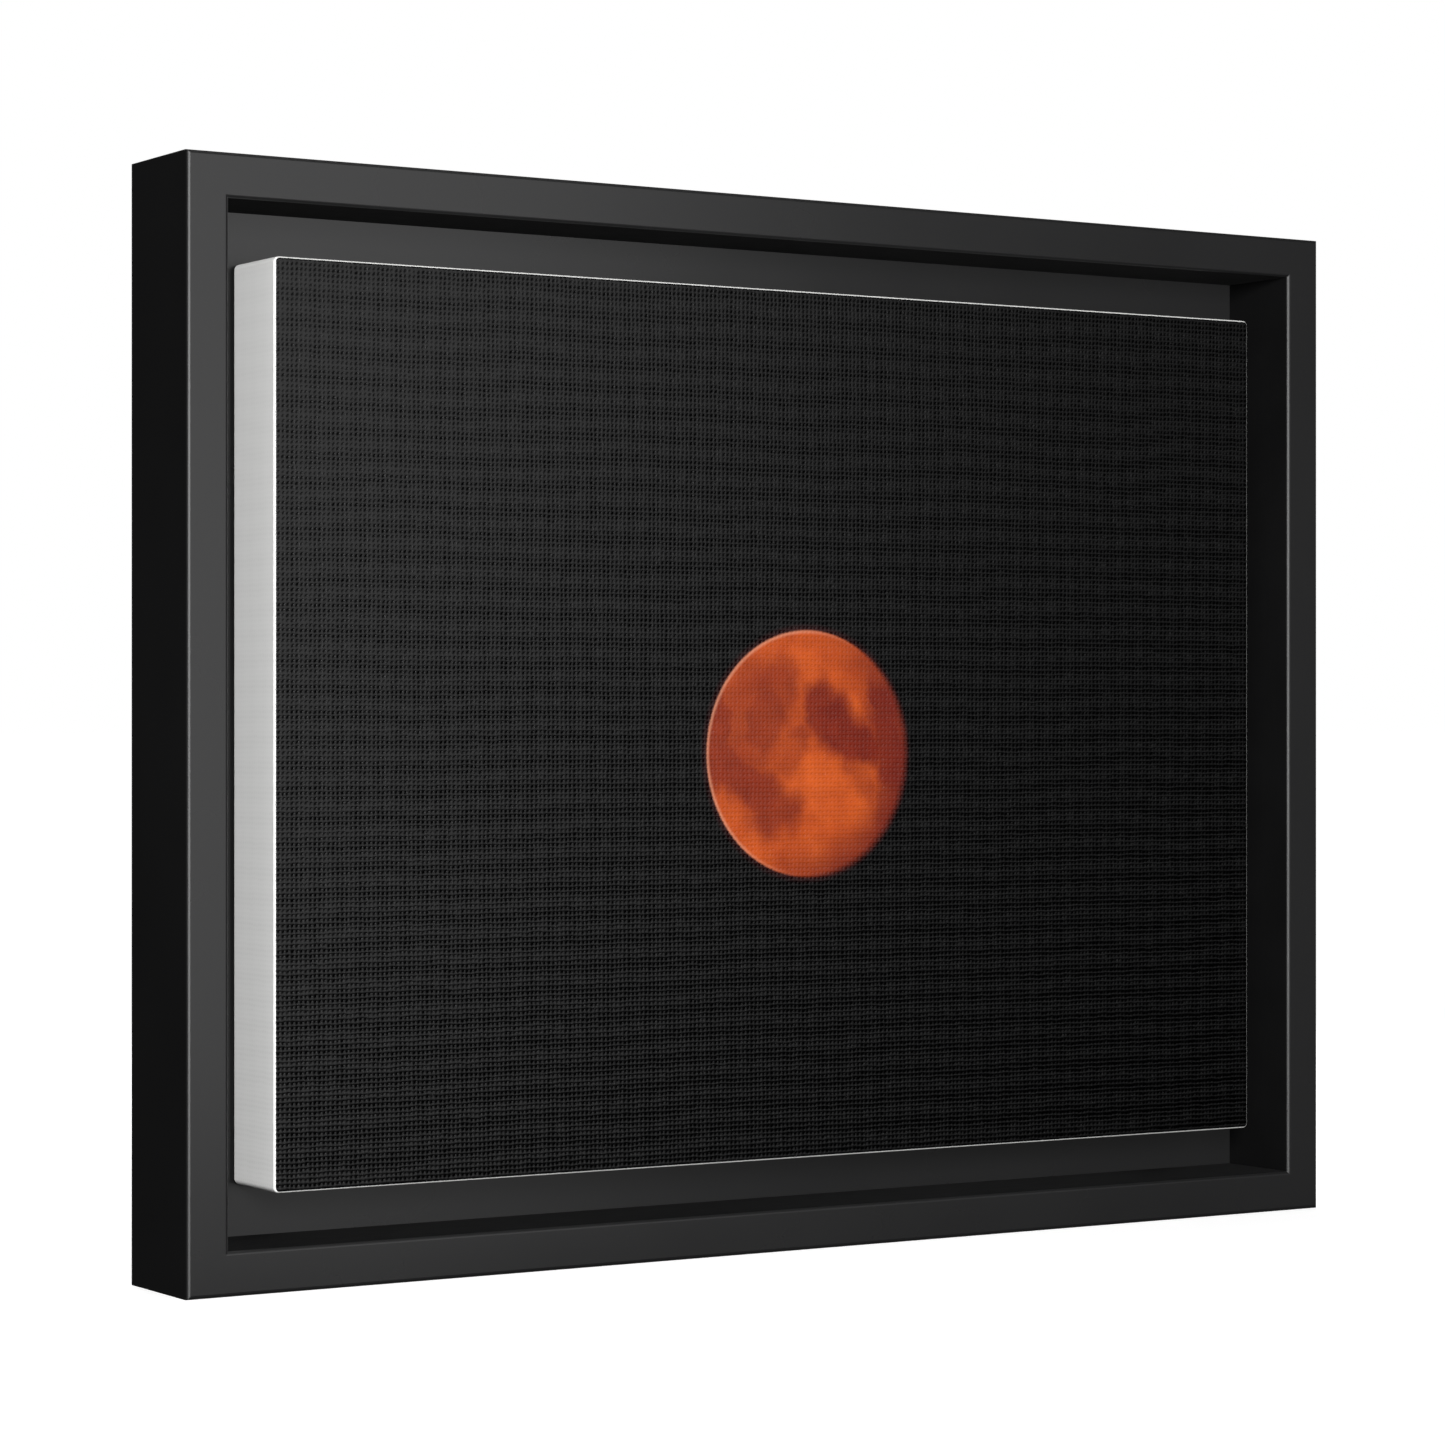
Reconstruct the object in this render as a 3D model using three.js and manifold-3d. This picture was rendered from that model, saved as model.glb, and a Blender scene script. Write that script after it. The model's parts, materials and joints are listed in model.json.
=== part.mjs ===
// A stretched canvas fixed in a floating frame.
//
// Millimetres, +Z up, +X to the right. The picture faces -Y. The origin is on the floor, under the
// middle of the object's box. Pieces that touch on the real object stand GAP apart here.

import * as THREE from "three";
import { RoundedBoxGeometry } from "three/addons/geometries/RoundedBoxGeometry.js";
import { mergeVertices } from "three/addons/utils/BufferGeometryUtils.js";
import Module from "manifold-3d";

const wasm = await Module();
wasm.setup();

// Driving dimensions.
const GAP = 0.3;

const CANVAS_WIDTH = 406.4; // a 16 by 12 inch canvas, an inch and a quarter deep
const CANVAS_HEIGHT = 304.8;
const CANVAS_DEPTH = 31.75;
const CLOTH = 0.6;
const FOLD_RADIUS = 1.2;
const HEM = 28; // how far the cloth turns in over the backs of the bars

const FRAME_DEPTH = 44.2;
const FRAME_WALL = 14.8;
const SHADOW_GAP = 17.3; // between the frame's wall and the canvas
const CANVAS_RECESS = 2.5; // from the frame's front back to the canvas
const LEDGE_LAP = 16; // how far the ledge reaches behind the canvas
const FRAME_ROUNDING = 1.4;
const FRAME_BACK_BEVEL = 0.8;

const BAR_WIDTH = 38;
const BAR_SLOPE = 2.5; // how far a bar's inner edge stands off the cloth
const BAR_LIP = 6;
const BAR_LIP_RADIUS = 1.2;
const TONGUE = 5.5;
const SIDE_TONGUE_BACK = 8.5; // from a bar's front to the tongues of the side bars
const CROSS_TONGUE_BACK = 17; // and to the tongues of the top and bottom bars

const KEY_LENGTH = 36;
const KEY_TAIL = 14;
const KEY_TIP = 8.5;
const KEY_THICK = 4.9;
const KEY_SEATED = 22; // how deep a key is driven into its slot

const SCREW_RADIUS = 1.75;
const SCREW_LENGTH = 20;
const SCREW_POINT = 4;
const SCREW_HEAD_RADIUS = 3.7;
const SCREW_HEAD = 2.2;
const SCREW_CROWN = 0.6; // the head's flat top, as a share of its radius
const SCREW_LAP = 8; // from the canvas's edge in to a fixing screw
const CROSS_SCREW_AT = 100; // from the middle of the top and bottom rails
const SIDE_SCREW_AT = 50; // from the middle of the side rails
const COUNTERBORE = 2.6;

const NAIL_WING = 6.4;
const NAIL_THICK = 0.9;
const NAIL_DEPTH = 7;
const NAIL_INSETS = [8, 33]; // from the frame's outer edges to the V-nails of a corner

const STAPLE_CROWN = 10;
const STAPLE_LEG = 6;
const STAPLE_WIRE = 0.7;
const STAPLE_BREADTH = 1.2;
const STAPLE_INSET = 22; // from the canvas's edge
const CROSS_STAPLES = 5;
const SIDE_STAPLES = 4;
const STAPLE_END = 42; // from the canvas's corner to the first staple

const STRAP_LENGTH = 22;
const STRAP_BREADTH = 12;
const STRAP_THICK = 0.8;
const STRAP_EDGE = 8; // from the frame's side in to the strap
const STRAP_SCREW_AT = 7;
const STRAP_SCREW_LENGTH = 12;
const HANGER_HEIGHT = 0.7; // as a share of the frame's height
const RING_WIRE = 2;
const RING_REACH = 12;
const RING_HALF = 8.5;
const RING_CORNER = 0.75; // where the D's straight side ends, as a share of its half-height
const RING_BOW_FROM = 75; // degrees, from the D's tip to the first point of its bow
const RING_BOW_STEP = 15;
const RING_SPLIT = 0.4; // where the ends of the wire meet, inside the strap's eye

const BUMPER_RADIUS = 5.5;
const BUMPER_TIP_RADIUS = 2.5;
const BUMPER_HEIGHT = 5;
const BUMPER_SHOULDERS = [[1, 0], [1, 0.3], [0.85, 0.7]]; // shares of its radius and height
const BUMPER_SIDE = 45; // from the frame's side in to a bumper
const BUMPER_UP = 20;

// Worked out from them.
const RAIL_WIDTH = FRAME_WALL + SHADOW_GAP + LEDGE_LAP;
const FRAME_WIDTH = CANVAS_WIDTH + 2 * (SHADOW_GAP + FRAME_WALL);
const FRAME_HEIGHT = CANVAS_HEIGHT + 2 * (SHADOW_GAP + FRAME_WALL);
const LEDGE_FRONT = CANVAS_RECESS + CANVAS_DEPTH + GAP;
const SKIN = CLOTH + GAP;
const BAR_DEPTH = CANVAS_DEPTH - 2 * SKIN;
const BARS_WIDTH = CANVAS_WIDTH - 2 * SKIN;
const BARS_HEIGHT = CANVAS_HEIGHT - 2 * SKIN;

const FRONT_Y = -(FRAME_DEPTH + BUMPER_HEIGHT) / 2;
const BACK_Y = FRONT_Y + FRAME_DEPTH;
const CANVAS_Y = FRONT_Y + CANVAS_RECESS;
const BAR_Y = CANVAS_Y + SKIN;
const HEM_Y = CANVAS_Y + CANVAS_DEPTH;
const MIDDLE_Z = FRAME_HEIGHT / 2;

const ROUND = 16; // straight sides to a small round piece
const EDGE_STEPS = 4; // and to a rail's or a bar's rounded edge
const WIRE_SIDES = 4; // and to each half of the ring's wire
const EYE_STEPS = 8; // and to a turn of a strap's eye
const FOLD_STEPS = 2; // and to the cloth's folds
const RING_STEPS = 56; // along a ring's wire
const QUARTER = Math.PI / 2;

const paint = (color, roughness, metalness = 0) => ({ color, roughness, metalness });
const BLACK_LACQUER = paint(0x1b1b1c, 0.42);
const PINE = paint(0xd6b483, 0.75);
const BEECH = paint(0xc79a66, 0.7);
const WHITE_COTTON = paint(0xdfdedb, 0.95);
const ZINC = paint(0xb9bcc0, 0.35, 1);
const NICKEL = paint(0xc9c7c0, 0.25, 1);
const STEEL = paint(0x8f9296, 0.4, 1);
const BLACK_RUBBER = paint(0x2a2a2b, 0.85);

const canvas = new THREE.Group();
const cuts = []; // [piece, the space that another piece takes out of it]

// A mesh in a group.
function piece(name, geometry, finish, parent = canvas) {
  const mesh = new THREE.Mesh(geometry, new THREE.MeshStandardMaterial(finish));
  mesh.name = name;
  parent.add(mesh);
  return mesh;
}

// The space round a piece, which follows it and is only ever cut away from others.
function space(geometry, beside) {
  const hollow = new THREE.Mesh(geometry);
  hollow.position.copy(beside.position);
  hollow.rotation.copy(beside.rotation);
  hollow.visible = false;
  beside.parent.add(hollow);
  return hollow;
}

// An outline in X and Z, from one depth to another.
function plate(outline, fromY, toY) {
  const shape = new THREE.Shape(outline.map(([x, z]) => new THREE.Vector2(x, z)));
  const depth = toY - fromY;
  const geometry = new THREE.ExtrudeGeometry(shape, { depth, bevelEnabled: false });
  geometry.rotateX(QUARTER);
  geometry.translate(0, toY, 0);
  return geometry;
}

// A block between two corners.
function block(low, high) {
  const size = high.map((value, axis) => value - low[axis]);
  const middle = high.map((value, axis) => (value + low[axis]) / 2);
  return new THREE.BoxGeometry(...size).translate(...middle);
}

// A round piece along Y, from [radius, y] points that start and end on the axis.
function turned(profile) {
  const points = profile.map(([radius, y]) => new THREE.Vector2(radius, y));
  return new THREE.LatheGeometry(points, ROUND);
}

// A geometry seen from another frame, as a solid.
function solid(geometry, matrix = new THREE.Matrix4()) {
  const bare = geometry.clone().applyMatrix4(matrix);
  bare.deleteAttribute("normal");
  bare.deleteAttribute("uv");
  const merged = mergeVertices(bare);
  const vertProperties = new Float32Array(merged.attributes.position.array);
  const triVerts = new Uint32Array(merged.index.array);
  return new wasm.Manifold(new wasm.Mesh({ numProp: 3, vertProperties, triVerts }));
}

// A solid's surface, as a geometry.
function surface(made) {
  const mesh = made.getMesh();
  const geometry = new THREE.BufferGeometry();
  geometry.setAttribute("position", new THREE.BufferAttribute(mesh.vertProperties, mesh.numProp));
  geometry.setIndex(new THREE.BufferAttribute(mesh.triVerts, 1));
  return geometry;
}

// A bar along X with both ends mitred. Its section is given as inward and back; Z is 0 at its outer
// edge and negative inward.
function mitred(section, length) {
  const geometry = new THREE.ExtrudeGeometry(section, {
    depth: length,
    bevelEnabled: false,
    curveSegments: EDGE_STEPS,
  });
  geometry.translate(0, 0, -length / 2);
  geometry.rotateY(QUARTER);
  const at = geometry.attributes.position;
  for (let i = 0; i < at.count; i += 1) {
    const end = Math.sign(at.getX(i));
    at.setX(i, end * (length / 2 + at.getZ(i) - GAP / Math.SQRT2));
  }
  return geometry;
}

function railSection() {
  const section = new THREE.Shape();
  const inner = FRAME_WALL - FRAME_ROUNDING;
  section.moveTo(FRAME_ROUNDING, 0);
  section.absarc(inner, FRAME_ROUNDING, FRAME_ROUNDING, -QUARTER, 0, false);
  section.lineTo(FRAME_WALL, LEDGE_FRONT);
  section.lineTo(RAIL_WIDTH, LEDGE_FRONT);
  section.lineTo(RAIL_WIDTH, FRAME_DEPTH);
  section.lineTo(FRAME_BACK_BEVEL, FRAME_DEPTH);
  section.lineTo(0, FRAME_DEPTH - FRAME_BACK_BEVEL);
  section.absarc(FRAME_ROUNDING, FRAME_ROUNDING, FRAME_ROUNDING, Math.PI, 3 * QUARTER, false);
  return section;
}

// The lip at the front's outer edge carries the cloth, and the rest of the front slopes away from it.
function barSection() {
  const section = new THREE.Shape();
  section.moveTo(0, BAR_LIP_RADIUS);
  section.absarc(BAR_LIP_RADIUS, BAR_LIP_RADIUS, BAR_LIP_RADIUS, Math.PI, 3 * QUARTER, false);
  section.lineTo(BAR_LIP, 0);
  section.lineTo(BAR_WIDTH, BAR_SLOPE);
  section.lineTo(BAR_WIDTH, BAR_DEPTH);
  section.lineTo(0, BAR_DEPTH);
  return section;
}

// The four sides. Each is a group with X along the side and +Z outward, from the middle of the
// frame's outer edge.
const SIDES = [
  { name: "top", turn: 0, cross: true },
  { name: "right", turn: QUARTER, cross: false },
  { name: "bottom", turn: Math.PI, cross: true },
  { name: "left", turn: -QUARTER, cross: false },
];
for (const side of SIDES) {
  const reach = (side.cross ? FRAME_HEIGHT : FRAME_WIDTH) / 2;
  side.group = new THREE.Group();
  side.group.rotation.y = side.turn;
  side.group.position.set(Math.sin(side.turn) * reach, 0, MIDDLE_Z + Math.cos(side.turn) * reach);
  canvas.add(side.group);
  side.railLength = side.cross ? FRAME_WIDTH : FRAME_HEIGHT;
  side.barLength = side.cross ? BARS_WIDTH : BARS_HEIGHT;
}

// Frame rails and stretcher bars.
const BAR_Z = -(FRAME_WALL + SHADOW_GAP + SKIN); // a bar's outer edge, in its side's group
for (const side of SIDES) {
  const rail = mitred(railSection(), side.railLength);
  side.rail = piece(`frame_rail_${side.name}`, rail, BLACK_LACQUER, side.group);
  side.rail.position.y = FRONT_Y;

  const tongueBack = side.cross ? CROSS_TONGUE_BACK : SIDE_TONGUE_BACK;
  const half = side.barLength / 2;
  const tongue = block([-half, tongueBack, -BAR_WIDTH], [half, tongueBack + TONGUE, 0]);
  const bar = surface(solid(mitred(barSection(), side.barLength)).add(solid(tongue)));
  side.bar = piece(`stretcher_bar_${side.name}`, bar, PINE, side.group);
  side.bar.position.set(0, BAR_Y, BAR_Z);
  side.tongueSpace = space(
    block(
      [-half - GAP, tongueBack - GAP, -BAR_WIDTH - GAP],
      [half + GAP, tongueBack + TONGUE + GAP, GAP],
    ),
    side.bar,
  );
}
for (const side of SIDES) {
  for (const other of SIDES.filter((one) => one.cross !== side.cross)) {
    cuts.push([side.bar, other.tongueSpace]);
  }
}
const [TOP, RIGHT, BOTTOM, LEFT] = SIDES;

// The cloth, round the front and the sides, with its hems on the backs of the bars.
const outside = new RoundedBoxGeometry(
  CANVAS_WIDTH,
  CANVAS_DEPTH,
  CANVAS_HEIGHT,
  FOLD_STEPS,
  FOLD_RADIUS,
);
const inside = new RoundedBoxGeometry(
  CANVAS_WIDTH - 2 * CLOTH,
  CANVAS_DEPTH - 2 * CLOTH,
  CANVAS_HEIGHT - 2 * CLOTH,
  FOLD_STEPS,
  FOLD_RADIUS - CLOTH,
);
const backWindow = block(
  [HEM - CANVAS_WIDTH / 2, 0, HEM - CANVAS_HEIGHT / 2],
  [CANVAS_WIDTH / 2 - HEM, CANVAS_DEPTH, CANVAS_HEIGHT / 2 - HEM],
);
const wrapped = solid(outside).subtract(solid(inside)).subtract(solid(backWindow));
const cloth = piece("canvas_cloth", surface(wrapped), WHITE_COTTON);
cloth.position.set(0, CANVAS_Y + CANVAS_DEPTH / 2, MIDDLE_Z);

// Wedge keys. In each corner one stands beside a side bar's tongue and one lies beside a top or
// bottom bar's tongue. A key's outline is [across from its straight edge, in from its tail].
const OPENING_X = BARS_WIDTH / 2 - BAR_WIDTH;
const OPENING_Z = BARS_HEIGHT / 2 - BAR_WIDTH;

function keyOutline(grow) {
  return [
    [-grow, -grow],
    [KEY_TAIL + grow, -grow],
    [KEY_TIP + grow, KEY_LENGTH + grow],
    [-grow, KEY_LENGTH + grow],
  ];
}

function key(name, x, z, stands, bar) {
  const tongueBack = stands ? SIDE_TONGUE_BACK : CROSS_TONGUE_BACK;
  const fromY = BAR_Y + tongueBack + (TONGUE - KEY_THICK) / 2;
  const placed = ([across, along]) =>
    stands
      ? [-x * (across + GAP), z * (along - KEY_LENGTH + KEY_SEATED)]
      : [x * (along - KEY_LENGTH + KEY_SEATED), -z * (across + GAP)];
  const wedge = plate(keyOutline(0).map(placed), 0, KEY_THICK);
  const slot = plate(keyOutline(GAP).map(placed), -GAP, KEY_THICK + GAP);
  const made = piece(name, wedge, BEECH);
  made.position.set(x * OPENING_X, fromY, MIDDLE_Z + z * OPENING_Z);
  cuts.push([bar, space(slot, made)]);
}

for (const [z, level, crossBar] of [[1, "top", TOP.bar], [-1, "bottom", BOTTOM.bar]]) {
  for (const [x, hand, sideBar] of [[-1, "left", LEFT.bar], [1, "right", RIGHT.bar]]) {
    key(`key_${level}_${hand}_upright`, x, z, true, crossBar);
    key(`key_${level}_${hand}_level`, x, z, false, sideBar);
  }
}

// Screws. Each points to -Y from y = 0 under its head.
function screwProfile(length, grow) {
  return [
    [0, -length - grow],
    [SCREW_RADIUS + grow, SCREW_POINT - length - grow],
    [SCREW_RADIUS + grow, -grow],
    [SCREW_HEAD_RADIUS + grow, -grow],
    [SCREW_HEAD_RADIUS + grow, SCREW_HEAD / 2],
    [SCREW_CROWN * SCREW_HEAD_RADIUS + grow, SCREW_HEAD + grow],
    [0, SCREW_HEAD + grow],
  ];
}

// The fixing screws go through the ledge and the hem into the bars, with their heads sunk.
function fixingScrew(name, side, along) {
  const screw = piece(name, turned(screwProfile(SCREW_LENGTH, 0)), ZINC, side.group);
  screw.position.set(along, BACK_Y - COUNTERBORE + GAP, -(FRAME_WALL + SHADOW_GAP + SCREW_LAP));
  const sunk = SCREW_HEAD_RADIUS + 2 * GAP;
  const hole = turned([
    [0, -SCREW_LENGTH - GAP],
    [SCREW_RADIUS + GAP, SCREW_POINT - SCREW_LENGTH - GAP],
    [SCREW_RADIUS + GAP, -GAP],
    [sunk, -GAP],
    [sunk, COUNTERBORE + GAP],
    [0, COUNTERBORE + GAP],
  ]);
  const taken = space(hole, screw);
  cuts.push([side.rail, taken], [side.bar, taken], [cloth, taken]);
}

for (const side of SIDES) {
  const at = side.cross ? CROSS_SCREW_AT : SIDE_SCREW_AT;
  fixingScrew(`fixing_screw_${side.name}_1`, side, -at);
  fixingScrew(`fixing_screw_${side.name}_2`, side, at);
}

// V-nails across the frame's mitres. The point of each V is towards the corner.
function nailOutline(grow) {
  const inner = NAIL_THICK / Math.SQRT2;
  const wing = (NAIL_WING + grow) / Math.SQRT2;
  const out = grow * Math.SQRT2;
  return [
    [0, out],
    [wing, out - wing],
    [wing - inner - out, -wing - inner],
    [0, -2 * inner - out],
    [inner + out - wing, -wing - inner],
    [-wing, out - wing],
  ];
}

const CORNERS = [
  { name: "top_left", x: -1, z: 1, rails: [TOP.rail, LEFT.rail] },
  { name: "top_right", x: 1, z: 1, rails: [TOP.rail, RIGHT.rail] },
  { name: "bottom_left", x: -1, z: -1, rails: [BOTTOM.rail, LEFT.rail] },
  { name: "bottom_right", x: 1, z: -1, rails: [BOTTOM.rail, RIGHT.rail] },
];
for (const corner of CORNERS) {
  const group = new THREE.Group();
  group.position.set((corner.x * FRAME_WIDTH) / 2, BACK_Y, MIDDLE_Z + (corner.z * FRAME_HEIGHT) / 2);
  group.rotation.y = Math.atan2(corner.x, corner.z);
  canvas.add(group);
  NAIL_INSETS.forEach((inset, index) => {
    const nail = plate(nailOutline(0), -NAIL_DEPTH - GAP, -GAP);
    const made = piece(`v_nail_${corner.name}_${index + 1}`, nail, STEEL, group);
    made.position.z = -inset * Math.SQRT2;
    const slot = space(plate(nailOutline(GAP), -NAIL_DEPTH - 2 * GAP, GAP), made);
    corner.rails.forEach((rail) => cuts.push([rail, slot]));
  });
}

// Staples through the hems.
function staple(name, side, along) {
  const half = STAPLE_CROWN / 2;
  const shape = new THREE.Shape();
  shape.moveTo(-half, -STAPLE_LEG);
  shape.lineTo(-half, STAPLE_WIRE);
  shape.lineTo(half, STAPLE_WIRE);
  shape.lineTo(half, -STAPLE_LEG);
  shape.lineTo(half - STAPLE_WIRE, -STAPLE_LEG);
  shape.lineTo(half - STAPLE_WIRE, 0);
  shape.lineTo(STAPLE_WIRE - half, 0);
  shape.lineTo(STAPLE_WIRE - half, -STAPLE_LEG);
  const bent = new THREE.ExtrudeGeometry(shape, { depth: STAPLE_BREADTH, bevelEnabled: false });
  bent.translate(0, 0, -STAPLE_BREADTH / 2);
  const made = piece(name, bent, STEEL, side.group);
  made.position.set(along, HEM_Y + GAP, -(FRAME_WALL + SHADOW_GAP + STAPLE_INSET));
  const breadth = STAPLE_BREADTH / 2 + GAP;
  for (const leg of [STAPLE_WIRE / 2 - half, half - STAPLE_WIRE / 2]) {
    const reach = STAPLE_WIRE / 2 + GAP;
    const hole = block([leg - reach, -STAPLE_LEG - GAP, -breadth], [leg + reach, 0, breadth]);
    const taken = space(hole, made);
    cuts.push([side.bar, taken], [cloth, taken]);
  }
}

for (const side of SIDES) {
  const count = side.cross ? CROSS_STAPLES : SIDE_STAPLES;
  const run = (side.cross ? CANVAS_WIDTH : CANVAS_HEIGHT) - 2 * STAPLE_END;
  for (let i = 0; i < count; i += 1) {
    staple(`staple_${side.name}_${i + 1}`, side, run * (i / (count - 1) - 0.5));
  }
}

// Strap hangers on the side rails, their D-rings turned inward. A hanger's group stands on the
// frame's back, with X from the strap's outer end to the ring.
const EYE_RADIUS = RING_WIRE / 2 + GAP + STRAP_THICK;

function strapShape() {
  const meets = Math.PI + Math.asin((EYE_RADIUS - STRAP_THICK) / EYE_RADIUS);
  const shape = new THREE.Shape();
  shape.moveTo(0, 0);
  shape.lineTo(STRAP_LENGTH, 0);
  shape.absarc(STRAP_LENGTH, EYE_RADIUS, EYE_RADIUS, -QUARTER, meets, false);
  shape.lineTo(0, STRAP_THICK);
  const eye = new THREE.Path();
  eye.absarc(STRAP_LENGTH, EYE_RADIUS, EYE_RADIUS - STRAP_THICK, 0, 2 * Math.PI, true);
  shape.holes.push(eye);
  return shape;
}

// The D of the ring's wire, from one side of its split to the other, in X and Z.
function ringPath() {
  const corner = RING_CORNER * RING_HALF;
  const points = [
    [0, RING_SPLIT / 2],
    [0, corner / 2],
    [0, corner],
  ];
  for (let angle = RING_BOW_FROM; angle > 0; angle -= RING_BOW_STEP) {
    const turn = THREE.MathUtils.degToRad(angle);
    points.push([RING_REACH * Math.cos(turn), RING_HALF * Math.sin(turn)]);
  }
  const half = points.map(([x, z]) => new THREE.Vector3(x, 0, z));
  const mirrored = points.map(([x, z]) => new THREE.Vector3(x, 0, -z)).reverse();
  const tip = new THREE.Vector3(RING_REACH, 0, 0);
  return new THREE.CatmullRomCurve3([...half, tip, ...mirrored]);
}

for (const [x, hand, side] of [[-1, "left", LEFT], [1, "right", RIGHT]]) {
  const group = new THREE.Group();
  group.position.set(x * (FRAME_WIDTH / 2 - STRAP_EDGE), BACK_Y, HANGER_HEIGHT * FRAME_HEIGHT);
  group.rotation.y = x > 0 ? Math.PI : 0;
  canvas.add(group);

  const bent = new THREE.ExtrudeGeometry(strapShape(), {
    depth: STRAP_BREADTH,
    bevelEnabled: false,
    curveSegments: EYE_STEPS,
  });
  bent.translate(0, 0, -STRAP_BREADTH / 2);
  const strap = piece(`hanger_strap_${hand}`, bent, NICKEL, group);
  strap.position.y = GAP;

  const wire = new THREE.Shape();
  wire.absarc(0, 0, RING_WIRE / 2, 0, 2 * Math.PI, false);
  const ring = new THREE.ExtrudeGeometry(wire, {
    extrudePath: ringPath(),
    steps: RING_STEPS,
    curveSegments: WIRE_SIDES,
  });
  const made = piece(`hanger_ring_${hand}`, ring, NICKEL, group);
  made.position.set(STRAP_LENGTH, GAP + EYE_RADIUS, 0);

  const profile = screwProfile(STRAP_SCREW_LENGTH, 0);
  const screw = piece(`hanger_screw_${hand}`, turned(profile), ZINC, group);
  screw.position.set(STRAP_SCREW_AT, 2 * GAP + STRAP_THICK, 0);
  const taken = space(turned(screwProfile(STRAP_SCREW_LENGTH, GAP)), screw);
  cuts.push([side.rail, taken], [strap, taken]);
}

// Rubber bumpers, with flat tips that rest against a wall.
for (const [x, hand] of [[-1, "left"], [1, "right"]]) {
  const dome = turned([
    [0, 0],
    ...BUMPER_SHOULDERS.map(([out, up]) => [out * BUMPER_RADIUS, up * BUMPER_HEIGHT]),
    [BUMPER_TIP_RADIUS, BUMPER_HEIGHT - GAP],
    [0, BUMPER_HEIGHT - GAP],
  ]);
  const bumper = piece(`bumper_${hand}`, dome, BLACK_RUBBER);
  bumper.position.set(x * (FRAME_WIDTH / 2 - BUMPER_SIDE), BACK_Y + GAP, BUMPER_UP);
}

// Each piece loses the spaces that its fasteners, tongues and keys take.
canvas.updateMatrixWorld(true);
for (const mesh of new Set(cuts.map(([target]) => target))) {
  const toMesh = mesh.matrixWorld.clone().invert();
  const left = cuts
    .filter(([target]) => target === mesh)
    .map(([, hollow]) => solid(hollow.geometry, toMesh.clone().multiply(hollow.matrixWorld)))
    .reduce((rest, hollow) => rest.subtract(hollow), solid(mesh.geometry));
  mesh.geometry = surface(left);
}
cuts.forEach(([, hollow]) => hollow.removeFromParent());

export default canvas;
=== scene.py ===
"""A stretched canvas in a black floating frame, in a plain pale studio.

Metres, +Z up, the picture faces -Y. The CAD rails, bars, keys, screws and hangers give every place
and size. This script gives them fine surfaces, and makes the wrapped cloth with its folds and print.
"""

import json
import math
import random

import bmesh
import bpy
import numpy as np
from mathutils import Matrix, Vector

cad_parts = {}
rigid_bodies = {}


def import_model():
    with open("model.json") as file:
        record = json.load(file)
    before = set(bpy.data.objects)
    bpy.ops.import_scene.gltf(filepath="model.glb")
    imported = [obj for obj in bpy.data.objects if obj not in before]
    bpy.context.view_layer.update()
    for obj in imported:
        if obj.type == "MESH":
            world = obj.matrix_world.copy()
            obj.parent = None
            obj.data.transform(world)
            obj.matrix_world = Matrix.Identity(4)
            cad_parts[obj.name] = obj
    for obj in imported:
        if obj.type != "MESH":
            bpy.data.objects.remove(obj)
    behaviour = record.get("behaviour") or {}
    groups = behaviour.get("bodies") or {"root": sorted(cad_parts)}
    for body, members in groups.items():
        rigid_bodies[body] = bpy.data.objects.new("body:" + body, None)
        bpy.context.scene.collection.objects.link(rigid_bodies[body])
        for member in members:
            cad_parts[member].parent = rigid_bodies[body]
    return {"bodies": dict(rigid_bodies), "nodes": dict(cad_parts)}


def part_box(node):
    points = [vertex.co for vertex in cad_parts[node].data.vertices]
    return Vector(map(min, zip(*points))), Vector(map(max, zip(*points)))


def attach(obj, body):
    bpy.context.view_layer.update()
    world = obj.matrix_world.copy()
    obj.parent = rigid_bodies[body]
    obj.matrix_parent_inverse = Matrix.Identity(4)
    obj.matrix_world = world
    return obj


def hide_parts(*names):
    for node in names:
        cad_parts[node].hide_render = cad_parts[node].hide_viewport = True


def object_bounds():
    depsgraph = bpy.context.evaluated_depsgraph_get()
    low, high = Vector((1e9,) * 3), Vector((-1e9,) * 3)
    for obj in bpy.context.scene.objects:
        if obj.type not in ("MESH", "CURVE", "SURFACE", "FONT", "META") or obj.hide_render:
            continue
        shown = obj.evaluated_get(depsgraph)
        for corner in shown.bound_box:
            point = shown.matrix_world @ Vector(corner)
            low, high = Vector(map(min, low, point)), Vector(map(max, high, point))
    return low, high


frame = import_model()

CAD_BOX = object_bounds()
MM = 0.001
FIXED = "framed_canvas"
SIDES = ("top", "right", "bottom", "left")

CANVAS_LOW, CANVAS_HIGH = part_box("canvas_cloth")
MIDDLE = (CANVAS_LOW + CANVAS_HIGH) / 2
LEFT_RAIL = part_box("frame_rail_left")
RIGHT_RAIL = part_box("frame_rail_right")
FRAME_LOW = Vector((LEFT_RAIL[0].x, LEFT_RAIL[0].y, 0))
FRAME_HIGH = Vector((RIGHT_RAIL[1].x, LEFT_RAIL[1].y, CAD_BOX[1][2]))
FRAME_MIDDLE = (FRAME_LOW + FRAME_HIGH) / 2
HALF_WIDTH = FRAME_HIGH.x - FRAME_MIDDLE.x
HALF_HEIGHT = FRAME_HIGH.z - FRAME_MIDDLE.z

# ------------------------------------------------------------------------------------------------
# Camera

CAMERA_PLACE = (-0.7868, -1.2242, 0.1852)
CAMERA_TURN = math.radians(-32.15)  # level, and round the object's left
LENS, SENSOR = 101.85, 36  # in millimetres


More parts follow.
